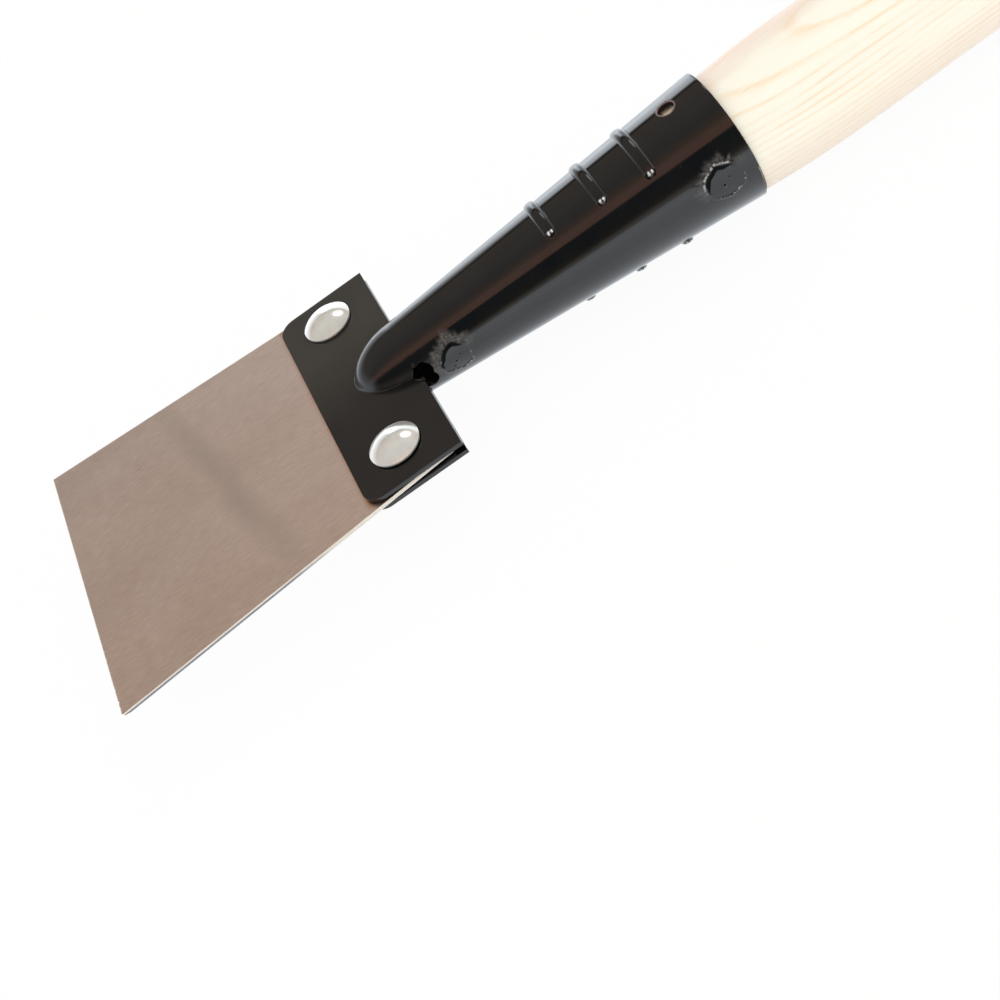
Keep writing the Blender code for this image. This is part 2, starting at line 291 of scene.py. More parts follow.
# The room is what gloss sees, by the angle over the tool from the back wall to the front one. The cove is the bright
# wall behind the tool. The fill lights what isn't gloss.
studio = {
    "room": ((0, (0.62, 0.60, 0.57)), (27, (0.46, 0.45, 0.43)), (30.5, (0.40, 0.38, 0.36)),
             (31.5, (0.05, 0.05, 0.05)), (33.5, (0.05, 0.05, 0.05)), (35, (0.43, 0.36, 0.305)),
             (52, (0.51, 0.43, 0.37)), (75, (0.53, 0.50, 0.47)), (103, (0.44, 0.40, 0.37)),
             (115, (0.65, 0.44, 0.32)), (124, (1.12, 0.64, 0.49)), (136.5, (1.12, 0.62, 0.47)),
             (138.5, (0.12, 0.11, 0.09)), (142, (0.07, 0.09, 0.11)), (160, (0.09, 0.10, 0.11)),
             (168, (0.12, 0.12, 0.10)), (174, (0.32, 0.28, 0.22)), (179, (0.85, 0.78, 0.68))),
    "cove": (2.4, 2.55, 2.72),
    "coveGrowth": ((-0.9, 0.62), (-0.5, 0.56), (-0.13, 0.78), (0.02, 1.3), (0.07, 1.3), (0.2, 0.6),
                   (0.9, 0.45)),                # its level along the tool
    "coveFade": (-0.16, -0.02, -0.05, 0.40),    # its upper border is sharper further along the tool
    "coveTop": 0.47,                            # sine of the elevation where it ends
    "coveFront": (-0.50, -0.15),
    "fillEdge": (0.72, 0.65, 0.61),
    "fillFront": (1.34, 1.36, 1.33),
    "fillFrom": (0.0, -0.79, 0.61),
    "fillSpread": (-0.1, 1.0),
    "lampTurn": (52, 45.7),                     # azimuth from +X, elevation
    "lampDistance": 3.0,
    "lampSize": 1.05,
    "lampPower": 6.0,
    "floorSize": 6,
    "floorCentre": (0.5, 0.6),
    "floorDrop": 0.0002,                        # below the tool
    "floorColour": (0.93, 0.93, 0.93),
    "floorInGloss": (1.45, 1.53, 1.61),
    "floorGlow": ((-1.4, 0.4), (-1.0, 0.56), (-0.5, 1.0), (-0.22, 1.15), (-0.12, 1.2), (-0.02, 0.92),
                  (0.04, 0.94), (0.35, 1.5), (0.8, 1.6)),     # its level in gloss, by Y
    "floorKeepsShadow": 0.05,
}


def lightPaths(tree):
    paths = addNode(tree, "ShaderNodeLightPath")
    mirrored = calculate(tree, "MAXIMUM", paths.outputs["Is Glossy Ray"], paths.outputs["Is Transmission Ray"])
    return paths.outputs["Is Camera Ray"], mirrored


def levelled(tree, colour, factor, levels, low, high):
    # a ramp stops at 1, so it holds half of each level and the colour is doubled
    ramp = addRamp(tree, factor, [((place - low) / (high - low), [level / 2] * 3) for place, level in levels])
    doubled = [2 * c for c in colour]
    return addNode(tree, "ShaderNodeVectorMath", {0: doubled, 1: ramp}, operation="MULTIPLY").outputs[0]


def lightWorld():
    world = bpy.data.worlds.new("studio")
    scene.world = world
    world.use_nodes = True
    tree = world.node_tree
    tree.nodes.clear()
    direction = addNode(tree, "ShaderNodeTexCoord").outputs["Generated"]
    along, across, up = splitPlace(tree, direction)
    turn = calculate(tree, "DIVIDE", calculate(tree, "ARCTAN2", up, across), math.pi)
    room = addRamp(tree, turn, [(angle / 180, colour) for angle, colour in studio["room"]])
    fade = remap(tree, along, *studio["coveFade"])
    low = calculate(tree, "DIVIDE", calculate(tree, "SUBTRACT", studio["coveTop"], up),
                    calculate(tree, "SUBTRACT", studio["coveTop"], fade))
    low = remap(tree, low, 0.0, 1.0, 0.0, 1.0)
    farness = calculate(tree, "MULTIPLY_ADD", along, 0.5, 0.5)
    cove = levelled(tree, studio["cove"], farness, studio["coveGrowth"], -1, 1)
    back = remap(tree, across, *studio["coveFront"], 0.0, 1.0, smooth=True)
    room = mixColours(tree, times(tree, low, back), room, cove)
    front = addNode(tree, "ShaderNodeVectorMath", {0: direction, 1: studio["fillFrom"]}, operation="DOT_PRODUCT")
    facing = remap(tree, front.outputs["Value"], *studio["fillSpread"], 0.0, 1.0)
    fill = mixColours(tree, facing, studio["fillEdge"], studio["fillFront"])
    seen, mirrored = lightPaths(tree)
    light = mixColours(tree, mirrored, fill, room)
    white = addNode(tree, "ShaderNodeBackground", {"Color": (1, 1, 1, 1), "Strength": 1.0})
    soft = addNode(tree, "ShaderNodeBackground", {"Color": light, "Strength": 1.0})
    mixed = addNode(tree, "ShaderNodeMixShader", {0: seen, 1: soft.outputs[0], 2: white.outputs[0]})
    addNode(tree, "ShaderNodeOutputWorld", {"Surface": mixed.outputs[0]})


def addLamp():
    azimuth, elevation = (math.radians(angle) for angle in studio["lampTurn"])
    towards = Vector((math.cos(elevation) * math.cos(azimuth), math.cos(elevation) * math.sin(azimuth),
                      math.sin(elevation)))
    place = Vector((layout["rearX"], 0, 0)) + towards * studio["lampDistance"]
    bpy.ops.object.light_add(type="AREA", location=place, rotation=towards.to_track_quat("Z", "Y").to_euler())
    lamp = bpy.context.object
    lamp.data.shape = "DISK"
    lamp.data.size = studio["lampSize"]
    lamp.data.energy = studio["lampPower"]


def layFloor():
    selectNone()
    centre = (*studio["floorCentre"], cadBox[0][2] - studio["floorDrop"])
    bpy.ops.mesh.primitive_plane_add(size=studio["floorSize"], location=centre)
    floor = bpy.context.object
    floor.name = "floor"
    material, tree, shader, coordinates = newMaterial("pale_floor", 0.0, 0.6)
    shader.inputs["Base Color"].default_value = (*studio["floorColour"], 1)
    seen, mirrored = lightPaths(tree)
    across = splitPlace(tree, coordinates)[1]
    low, high = studio["floorGlow"][0][0], studio["floorGlow"][-1][0]
    factor = remap(tree, plus(tree, across, studio["floorCentre"][1]), low, high, 0.0, 1.0)
    gloss = levelled(tree, studio["floorInGloss"], factor, studio["floorGlow"], low, high)
    glow = addNode(tree, "ShaderNodeEmission", {"Color": mixColours(tree, mirrored, (1, 1, 1), gloss),
                                                "Strength": 1.0})
    share = times(tree, calculate(tree, "MAXIMUM", seen, mirrored), 1 - studio["floorKeepsShadow"])
    mixed = addNode(tree, "ShaderNodeMixShader", {0: share, 1: shader.outputs[0], 2: glow.outputs[0]})
    tree.links.new(mixed.outputs[0], tree.nodes["Material Output"].inputs["Surface"])
    floor.data.materials.append(material)


lightWorld()
addLamp()
layFloor()
print("studio lit")

rivetPlaces = ((0.0536, 0.0311), (0.0535, -0.0297))     # far and near
blade = {
    "thickness": 0.0012,
    "edgeHalfWidth": 0.0508,
    "neckHalfWidth": 0.0436,
    "rearX": 0.0654,
    "frontX": -0.0397,
    "grind": 15,
    "land": 0.0003,
    "sideChamfer": 0.00026,
    "nearGrowth": 0.0006,
    "nearSideFrom": -0.035,
    "lean": 0.014,             # the sides lean towards the near side, seen at the cutting edge
    "leanFrom": 0.028,
    "nearCorner": 0.0014,
    "farCorner": 0.0007,
    "cornerTurns": (20, 45, 70),
    "rivetHole": 0.0035,
    "nickRadius": 0.0009,
    "nickDepth": 0.003,
    "nickCorners": 7,
    "nicks": ((0.0332, 0.00018), (0.0121, 0.00016), (-0.0233, 0.0002), (-0.0362, 0.00022), (-0.0412, 0.0004),
              (-0.0437, 0.0003), (-0.0459, 0.0005), (-0.0480, 0.0004)),     # place across the blade, how deep
    "tones": ((0.32, (0.645, 0.51, 0.44)), (0.5, (0.72, 0.59, 0.515)), (0.68, (0.805, 0.68, 0.605))),
    "toneShares": (0.62, 0.14, 0.24),     # streaks, wide streaks and clouds
    "roughness": (0.27, 0.37),
    "bump": (0.07, 0.00005),
    "paintedReflectionBandTone": (0.56, 0.47, 0.415),      # a painted reflection: a faint darker band, nearly straight across
    "bandX": 0.0143,
    "bandSlant": 0.217,
    "bandWander": 0.011,
    "bandHalfWidth": 0.0066,
    "bandMiddleY": 0.004,
    "bandFades": (0.012, 0.05, 1.0, 0.35),
    "bandStrength": 0.78,
    "rustTone": (0.60, 0.27, 0.12),       # along the plates' front edge
    "rustStrength": 0.75,
    "rustRagged": 0.0008,
    "rustReach": (-0.0009, 0.0007),
    "rustStartY": (-0.0430, -0.0405),
    "burrTone": (0.98, 0.95, 0.90),       # bright specks at the cutting edge, mostly on the near side
    "burrStrength": 0.9,
    "burrReach": (0.0006, 0.0012),
    "burrFadeY": (-0.022, -0.004),
    "underTone": (0.53, 0.52, 0.50),      # the lower side is greyer
    "underStrength": 0.65,
    "underZ": (-0.0011, -0.0007),
    "freshTones": ((0.74, 0.69, 0.61), (0.86, 0.82, 0.74)),
    "freshRoughness": (0.45, 0.6),
    "greyTones": ((0.17, 0.18, 0.21), (0.24, 0.25, 0.28)),
    "paintedLitTones": ((0.60, 0.56, 0.51), (0.70, 0.66, 0.60)),
    "paintedLitFromX": (0.012, 0.032),         # the sheared side is painted lighter towards the plates: a painted highlight in their shade
    "sideRoughness": (0.40, 0.55),
}


def makeGroundSteel():
    material, tree, shader, coordinates = newMaterial("ground_steel_dressed", 1.0)
    along, across, up = splitPlace(tree, coordinates)
    streaks = stretchedNoise(tree, coordinates, (260, 1900, 1900))
    wide = stretchedNoise(tree, coordinates, (14, 190, 190))
    clouds = stretchedNoise(tree, coordinates, (26, 34, 40))
    streakShare, wideShare, cloudShare = blade["toneShares"]
    tone = plus(tree, times(tree, streaks, streakShare), times(tree, wide, wideShare))
    tone = plus(tree, tone, times(tree, clouds, cloudShare))
    colour = addRamp(tree, tone, blade["tones"])
    # a painted reflection: a darker band slanting nearly straight across the blade
    slant = plus(tree, along, times(tree, across, blade["bandSlant"]))
    slant = plus(tree, slant, times(tree, clouds, blade["bandWander"]))
    band = remap(tree, offFrom(tree, slant, blade["bandX"]), 0.0, blade["bandHalfWidth"], 1.0, 0.0, smooth=True)
    band = times(tree, band, remap(tree, clouds, 0.35, 0.65, 0.6, 1.0))
    band = times(tree, band, remap(tree, offFrom(tree, across, blade["bandMiddleY"]), *blade["bandFades"]))
    colour = mixColours(tree, times(tree, band, blade["bandStrength"]), colour, blade["paintedReflectionBandTone"])
    ragged = times(tree, stretchedNoise(tree, coordinates, (150, 260, 200)), blade["rustRagged"])
    rustFrom, rustTo = (layout["plateFrontX"] + reach for reach in blade["rustReach"])
    rust = remap(tree, plus(tree, along, ragged), rustFrom, rustTo, 0.0, blade["rustStrength"], smooth=True)
    rust = times(tree, rust, remap(tree, across, *blade["rustStartY"], 0.0, 1.0))
    colour = mixColours(tree, rust, colour, blade["rustTone"])
    burrFrom, burrTo = (layout["edgeX"] + reach for reach in blade["burrReach"])
    burrs = stretchedNoise(tree, coordinates, (900, 900, 900), 2)
    burrs = remap(tree, burrs, 0.56, 0.64, 0.0, blade["burrStrength"])
    burrs = times(tree, burrs, remap(tree, along, burrFrom, burrTo, 1.0, 0.0))
    burrs = times(tree, burrs, remap(tree, across, *blade["burrFadeY"], 1.0, 0.1))
    colour = mixColours(tree, burrs, colour, blade["burrTone"])
    under = remap(tree, up, *blade["underZ"], blade["underStrength"], 0.0)
    colour = mixColours(tree, under, colour, blade["underTone"])
    linkLook(tree, shader, colour, between(tree, tone, blade["roughness"]))
    linkBump(tree, shader, streaks, blade["bump"])
    return material


def makeFreshEdge():
    material, tree, shader, coordinates = newMaterial("fresh_edge_dressed", 0.2)
    streaks = stretchedNoise(tree, coordinates, (120, 900, 2500))
    linkLook(tree, shader, twoTones(tree, streaks, blade["freshTones"]),
             between(tree, streaks, blade["freshRoughness"]))
    return material


def makeShearedSide():
    material, tree, shader, coordinates = newMaterial("sheared_side_dressed", 0.3)
    clouds = stretchedNoise(tree, coordinates, (300, 700, 700))
    # painted highlight: light cream towards the plates, in the shade between them
    paintedLit = remap(tree, splitPlace(tree, coordinates)[0], *blade["paintedLitFromX"], 0.0, 1.0, smooth=True)
    colour = mixColours(tree, paintedLit, twoTones(tree, clouds, blade["greyTones"]),
                        twoTones(tree, clouds, blade["paintedLitTones"]))
    linkLook(tree, shader, colour, between(tree, clouds, blade["sideRoughness"]))
    return material


def makeBlade():
    frontX, rearX, thick = blade["frontX"], blade["rearX"], blade["thickness"]
    selectNone()
    bpy.ops.mesh.primitive_cube_add(size=1, location=((frontX + rearX) / 2, 0, -thick / 2))
    piece = bpy.context.object
    piece.scale = (rearX - frontX, 2 * blade["edgeHalfWidth"], thick)
    settle(piece)
    flare = (blade["edgeHalfWidth"] - blade["neckHalfWidth"]) / (layout["plateFrontX"] - frontX)
    rearHalfWidth = blade["edgeHalfWidth"] - flare * (rearX - frontX)
    pick(piece, "VERT", lambda place: place.x > 0)
    bpy.ops.transform.resize(value=(1, rearHalfWidth / blade["edgeHalfWidth"], 1))
    setMode("OBJECT")
    # only the upper edges of the two sides
    bevelSharp(piece, blade["sideChamfer"], 1, lambda place: place.z < -0.0001 or abs(place.y) < 0.03)
    grind = math.radians(blade["grind"])
    planes = [((frontX, 0, -blade["land"]), (-math.sin(grind), 0, -math.cos(grind)))]
    for side, radius in ((-1, blade["nearCorner"]), (1, blade["farCorner"])):
        for turn in blade["cornerTurns"]:
            outwards = Vector((-math.cos(math.radians(turn)), side * math.sin(math.radians(turn)), 0))
            centre = Vector((frontX + radius, side * (blade["edgeHalfWidth"] - radius), 0))
            planes.append((centre + radius * outwards, outwards))
    setMode("EDIT")
    for place, outwards in planes:
        bpy.ops.mesh.select_all(action="SELECT")
        bpy.ops.mesh.bisect(plane_co=place, plane_no=outwards, use_fill=True, clear_outer=True)
    setMode("OBJECT")
    nicks = [addPeg(blade["nickRadius"], (frontX - blade["nickRadius"] + deep, place, 0), blade["nickDepth"],
                    blade["nickCorners"]) for place, deep in blade["nicks"]]
    holes = [addPeg(blade["rivetHole"], (x, y, 0), 0.02) for x, y in rivetPlaces]
    cutWith(piece, nicks)
    for vertex in piece.data.vertices:
        vertex.co.y += blade["lean"] * (vertex.co.x - blade["leanFrom"])
        if vertex.co.y < blade["nearSideFrom"]:
            vertex.co.y -= blade["nearGrowth"]
    cutWith(piece, holes)
    smoothBy(piece, 30)
    mount(piece, "blade", "ground_steel", makeGroundSteel(), makeFreshEdge(), makeShearedSide())
    # the sheared sides, then the chamfers above them
    for face in piece.data.polygons:
        if abs(face.normal.y) > 0.9 and face.normal.z < 0.1:
            face.material_index = 2
        elif 0.1 < face.normal.z < 0.985:
            face.material_index = 1


makeBlade()
print("blade ground")

socket = {
    "sheet": 0.0014,
    "plateDepth": 0.0284,
    "plateHalfWidth": 0.0428,
    "plateCorner": 0.005,
    "length": 0.1017,
    "throat": 0.01085,
    "mouth": 0.019,
    "mouthStep": 0.00032,      # the lower half ends this much short of the upper one
    "nose": 0.0167,
    "noseFillet": 0.0015,
    "noseSteps": 34,
    "columnSpread": 0.0055,
    "plateColumns": (0.0375, 0.0362, 0.0350, 0.0338, 0.0326, 0.0314, 0.0302, 0.0290, 0.0278, 0.0266, 0.0252,
                     0.0160, 0.0145, 0.0130),     # closer round the rivets and at the corners with the tube
    "plateRows": (-0.0200, -0.0190, -0.0180, -0.0173),
    "relief": 0.0029,
    "rivetHole": 0.0036,
    "ribs": ((0.0483, 0.0090), (0.0637, 0.0111), (0.0776, 0.0135)),   # place, half length from the crown
    "ribHalfWidth": 0.00165,
    "ribHeight": 0.0008,
    "seam": 0.00001,           # half the seam between the halves
    "sideStart": 0.002,
    "softEdge": 0.00024,
    "holeSetback": 0.011,
    "holeRadius": 0.0024,
    "holeBorder": 0.0029,      # the hole's soft edge lies within this radius
    "outerSkin": 0.0003,       # faces deeper below the tube's outside are its inside
    "outerSkinAtWeld": 0.0008,
    "rowStep": 0.0010,
    "fineRowStep": 0.00024,    # at the ribs, the screw hole, the front and the spot welds
    "ribSpan": 0.0021,
    "holeSpan": 0.0033,
    "frontSpan": 0.0042,
    "weldSpan": (1.5, 1.3),    # ahead of a weld and behind it, in its radii
    "columnAngle": 1.8,
    "fineColumnAngle": 0.75,
    "fineFrom": 148,           # the columns are closer from here to the near seam, for the spot welds
}
plateOutside = blade["thickness"] / 2 + layout["gap"] + socket["sheet"]
baseAngle = math.asin(plateOutside / socket["throat"])
holeX = layout["rearX"] + socket["length"] - socket["holeSetback"]

# in each weld, the strength of a painted highlight ring on its crest side is listed after the flash
welds = (
    {"place": 0.0923, "turn": 175, "radius": 0.0050, "depth": 0.00022, "flash": 0.00050, "paintedGlint": 0.78, "dust": 1.62,
     "dustShade": 0.75},
    {"place": 0.0101, "turn": 181, "radius": 0.0045, "depth": 0.00022, "flash": 0.00040, "paintedGlint": 0.30, "dust": 1.76,
     "dustShade": 1.0},
)
weldRim, weldBead = 0.00016, 0.00035
weldBeads = ((-0.1, 0.25, 0.10), (-0.35, 0.55, 0.07), (0.3, -0.1, 0.05))     # along, around and size, in weld radii
# painted highlights at the lower ends of the ribs
ribGlints = {"ahead": (-0.00045, 0.00060), "setback": 0.00085, "radius": 0.00062, "strength": 2.4}

paint = {
    "black": ((0.0028, 0.0028, 0.0030), (0.0048, 0.0045, 0.0044)),
    "roughness": (0.055, 0.085),
    "bump": (0.05, 0.0001),
    "inside": ((0.0035, 0.0035, 0.0035), (0.0053, 0.0053, 0.0053)),
    "insideRoughness": (0.75, 0.90),
    "speckTone": (0.06, 0.055, 0.05),
    "hazeTone": (0.034, 0.032, 0.028),    # on the plates, growing towards the far side
    "hazeY": (-0.012, 0.034),
    "hazeRagged": 0.012,
    "plateTop": 0.0027,
    "dustTone": (0.098, 0.092, 0.086),
    # painted highlights at the weld prints and the ribs' lower ends: grey specks at their fringe, near white where
    # strongest
    "glintSpeckTone": (0.36, 0.365, 0.37),
    "glintTone": (0.86, 0.87, 0.88),
    # painted shadow: the dark crescent inside each weld print, on its crest side
    "weldShadeTone": (0.002, 0.002, 0.002),
    "holeRimGlintTone": (0.30, 0.22, 0.20),      # painted highlight: a ring round the screw hole
    "holeRimGlintReach": (0.0027, 0.0033),
    "holeRimGlintRagged": 0.0006,
    "markDulling": 0.35,
    "plateDulling": (-0.004, 0.012, 0.10, 0.0),     # from and to along the tool, and how much rougher
}


def makeInnerBlack():
    material, tree, shader, coordinates = newMaterial("inner_black_dressed", 0.0)
    clouds = stretchedNoise(tree, coordinates, (300, 700, 700))
    linkLook(tree, shader, twoTones(tree, clouds, paint["inside"]), between(tree, clouds, paint["insideRoughness"]))
    return material


def makeBlackPaint():
    material, tree, shader, coordinates = newMaterial("black_paint_dressed", 0.0)
    along, across, up = splitPlace(tree, coordinates)
    clouds = stretchedNoise(tree, coordinates, (90, 90, 90), 4)
    cells = addNode(tree, "ShaderNodeTexVoronoi", {"Vector": coordinates, "Scale": 420.0})
    specks = remap(tree, cells.outputs["Distance"], 0.05, 0.09, 1.0, 0.0)
    rare = remap(tree, stretchedNoise(tree, coordinates, (160, 160, 160), 2), 0.6, 0.7, 0.0, 0.4)
    colour = mixColours(tree, times(tree, specks, rare), twoTones(tree, clouds, paint["black"]), paint["speckTone"])
    onPlate = calculate(tree, "LESS_THAN", calculate(tree, "ABSOLUTE", up), paint["plateTop"])
    haze = plus(tree, across, times(tree, clouds, paint["hazeRagged"]))
    haze = remap(tree, haze, *paint["hazeY"], 0.0, 1.0, smooth=True)
    colour = mixColours(tree, times(tree, haze, onPlate), colour, paint["hazeTone"])
    paintedGlint, dusty, paintedWeldShade = (addNode(tree, "ShaderNodeAttribute", attribute_name=name).outputs["Fac"]
                          for name in ("paintedGlint", "dusty", "paintedWeldShade"))
    matted = remap(tree, stretchedNoise(tree, coordinates, (1500, 1500, 1500), 4, 0.8), 0.36, 0.60, 0.0, 1.0)
    colour = mixColours(tree, times(tree, matted, dusty), colour, paint["dustTone"])
    # painted highlights: grey specks at their fringe, near white at the rib ends
    flakes = stretchedNoise(tree, coordinates, (1000, 1000, 1000), 4, 0.75)
    glintSpecks = remap(tree, plus(tree, paintedGlint, times(tree, flakes, 2.6)), 1.82, 2.1, 0.0, 1.0)
    glintSpecks = times(tree, glintSpecks, remap(tree, paintedGlint, 0.02, 0.2, 0.0, 1.0))
    colour = mixColours(tree, glintSpecks, colour, paint["glintSpeckTone"])
    colour = mixColours(tree, remap(tree, paintedGlint, 1.0, 1.6, 0.0, 1.0), colour, paint["glintTone"])
    # painted shadow in the weld prints' crescents, with their specular turned down
    colour = mixColours(tree, paintedWeldShade, colour, paint["weldShadeTone"])
    tree.links.new(remap(tree, paintedWeldShade, 0.0, 1.0, 0.5, 0.04), shader.inputs["Specular IOR Level"])
    # painted highlight round the upper screw hole's rim
    reach = plus(tree, calculate(tree, "POWER", calculate(tree, "SUBTRACT", along, holeX), 2.0),
                 calculate(tree, "POWER", across, 2.0))
    reach = plus(tree, calculate(tree, "SQRT", reach), times(tree, clouds, paint["holeRimGlintRagged"]))
    holeRimGlint = times(tree, remap(tree, reach, *paint["holeRimGlintReach"], 0.9, 0.0),
                  calculate(tree, "GREATER_THAN", up, 0.0))
    colour = mixColours(tree, holeRimGlint, colour, paint["holeRimGlintTone"])
    dullFrom, dullTo, rougher, unchanged = paint["plateDulling"]
    plates = remap(tree, along, layout["rearX"] + dullFrom, layout["rearX"] + dullTo, rougher, unchanged, smooth=True)
    gloss = plus(tree, between(tree, clouds, paint["roughness"]), plates)
    dull = calculate(tree, "MAXIMUM", calculate(tree, "MAXIMUM", glintSpecks, holeRimGlint), times(tree, dusty, 1.2))
    linkLook(tree, shader, colour, plus(tree, gloss, times(tree, dull, paint["markDulling"])))
    linkBump(tree, shader, stretchedNoise(tree, coordinates, (520, 520, 520), 2), paint["bump"])
    return material


def socketRadius(x):
    if x >= 0:
        return socket["throat"] + (socket["mouth"] - socket["throat"]) * x / socket["length"]
    return socket["throat"] * math.sqrt(max(0.0, 1 - (x / socket["nose"]) ** 2))


def ribLift(x, along):
    lift = 0.0
    for place, halfLength in socket["ribs"]:
        past = max(0.0, abs(along) - (halfLength - socket["ribHalfWidth"]))
        offCentre = math.hypot(x - place, past) / socket["ribHalfWidth"]
        if offCentre < 1:
            lift = socket["ribHeight"] * math.sqrt(1 - offCentre ** 2)
    return lift


def ribGlint(x, along):
    glintLevel = 0.0
    for place, halfLength in socket["ribs"]:
        for ahead in ribGlints["ahead"]:
            off = math.hypot(x - place - ahead, abs(along) - halfLength + ribGlints["setback"])
            glintLevel = max(glintLevel, ribGlints["strength"] * (1 - off / ribGlints["radius"]))
    return glintLevel


def weldReach(weld, x, turn):
    along = x - weld["place"]
    around = (turn - math.radians(weld["turn"])) * socketRadius(weld["place"])
    bearing = math.atan2(around, along)
    uneven = noise.noise(Vector((1.6 * math.cos(bearing), 1.6 * math.sin(bearing), weld["turn"])))
    reach = math.hypot(along, around) / weld["radius"] * (1 + 0.22 * uneven)
    towards = (-around - 0.45 * along) / max(1e-6, math.hypot(along, around))     # the side where the metal flew
    return along, around, bearing, reach, towards


def weldLift(x, turn):
    lift = 0.0
    for weld in welds:
        along, around, bearing, reach, towards = weldReach(weld, x, turn)
        if reach > 1.9:
            continue
        lift -= weld["depth"] * (1 - smoothStep(0.90, 1.0, reach))              # the electrode's flat print
        lift += weldRim * math.exp(-((reach - 1.04) / 0.045) ** 2)              # and the rim around it
        rough = noise.noise(Vector((x * 1250, turn * 22, 3.1)))
        rough += 0.6 * noise.noise(Vector((x * 3100, turn * 56, 7.7)))
        spikes = max(0.0, noise.noise(Vector((bearing * 7.0, reach * 1.2, 5.5))) + 0.25 * rough)
        flash = math.exp(-((reach - 1.02) / 0.08) ** 2) * max(0.0, 0.5 + rough)
        halo = math.exp(-((reach - 1.28) / 0.24) ** 2) * spikes * 0.55
        lift += weld["flash"] * smoothStep(0.0, 0.7, towards) * (flash + halo)  # metal thrown out on one side
        for beadAlong, beadAround, size in weldBeads:
            off = math.hypot(along / weld["radius"] - beadAlong, around / weld["radius"] - beadAround) / size
            if off < 1:
                lift += weldBead * math.sqrt(1 - off ** 2)
    return lift


def weldMarks(x, turn):
    paintedGlint = dusty = paintedWeldShade = 0.0
    for weld in welds:
        along, around, bearing, reach, towards = weldReach(weld, x, turn)
        crest = smoothStep(-0.35, 0.55, towards)
        # painted highlights: a bright ring on the crest side of the print and a thin bright arc on its other side
        paintedGlint += weld["paintedGlint"] * smoothStep(0.1, 0.8, towards) * math.exp(-((reach - 1.09) / 0.09) ** 2)
        paintedGlint += 0.62 * smoothStep(0.0, 0.6, -towards) * math.exp(-((reach - 1.0) / 0.045) ** 2)
        fringe = weld["dust"] + 0.5 * noise.noise(Vector((bearing * 5.0, 3.3, weld["turn"])))
        dusty += (weld["dustShade"] * crest * smoothStep(1.0, 1.08, reach)
                  * (1 - smoothStep(fringe - 0.45, fringe, reach)))
        inner = 1.0 - 0.26 * smoothStep(0.0, 0.9, towards)
        # painted shadow in a crescent along the print's inner wall on the crest side
        paintedWeldShade += (smoothStep(-0.05, 0.45, towards) * smoothStep(inner - 0.04, inner, reach)
                  * (1 - smoothStep(0.98, 1.04, reach)))
    return min(1.0, paintedGlint), min(1.0, dusty), min(1.0, paintedWeldShade)


def tubePlace(x, turn):
    radius = socketRadius(x)
    return radius * math.cos(turn), radius * math.sin(turn)


def nosePlace(x, turn):
    radius = socketRadius(x)
    fillet = socket["noseFillet"] * min(1.0, -x / socket["sideStart"])
    base = math.sqrt(max(0.0, radius ** 2 - plateOutside ** 2))
    spread = max(base + fillet, socket["columnSpread"])
    y = spread * math.cos(turn) / math.cos(baseAngle)
    above = math.sqrt(max(0.0, radius ** 2 - y ** 2)) - plateOutside
    if fillet and abs(above) < fillet:
        above = (above + fillet) ** 2 / (4 * fillet)
    return y, plateOutside + max(0.0, above)


def spacedRows(start, end, step, fine, spans):
    rows, x = [start], start
    while x < end - 1e-6:
        near = any(low - step < x < high for low, high in spans)
        x = min(end, x + (fine if near else step))
        rows.append(x)
    if rows[-1] - rows[-2] < fine / 2:
        del rows[-2]
    return rows


def spreadTurns():
    near = math.pi - baseAngle
    coarse, fine = math.radians(socket["columnAngle"]), math.radians(socket["fineColumnAngle"])
    change = math.radians(socket["fineFrom"])
    count = round((change - baseAngle) / coarse)
    fineCount = round((near - change) / fine)
    arc = [baseAngle + (change - baseAngle) * i / count for i in range(count)]
    arc += [change + (near - change) * i / fineCount for i in range(fineCount + 1)]
    return [baseAngle * i / 7 for i in range(7)], arc, [near + baseAngle * i / 16 for i in range(1, 17)]


def addSheet(rows, columns, place):
    selectNone()
    bpy.ops.mesh.primitive_grid_add(x_subdivisions=len(rows) - 1, y_subdivisions=columns, size=2)
    piece = bpy.context.object
    for vertex in piece.data.vertices:
        row = round((vertex.co.x + 1) / 2 * (len(rows) - 1))
        column = round((1 - vertex.co.y) / 2 * columns)
        vertex.co = place(rows[row], column)
    return piece


def raiseDetails(piece):
    for name in ("paintedGlint", "dusty", "paintedWeldShade"):
        piece.data.attributes.new(name, "FLOAT", "POINT")
    paintedGlint, dusty, paintedWeldShade = (piece.data.attributes[name].data for name in ("paintedGlint", "dusty", "paintedWeldShade"))
    for vertex in piece.data.vertices:
        x, y, z = vertex.co.x - layout["rearX"], vertex.co.y, vertex.co.z - layout["axisZ"]
        radius = math.hypot(y, z)
        if x < 0.001 or abs(radius - socketRadius(x)) > 0.0002:      # only the tube's outer face
            continue
        aside = (math.pi / 2 - math.atan2(abs(z), y)) * radius
        lift = ribLift(x, aside)
        if y < 0:
            turn = math.atan2(z, y) % (2 * math.pi)
            lift += weldLift(x, turn)
            marks = weldMarks(x, turn)
            paintedGlint[vertex.index].value = max(marks[0], ribGlint(x, aside))
            dusty[vertex.index].value, paintedWeldShade[vertex.index].value = marks[1:]
        grown = 1 + lift / radius
        vertex.co.y, vertex.co.z = y * grown, z * grown + layout["axisZ"]


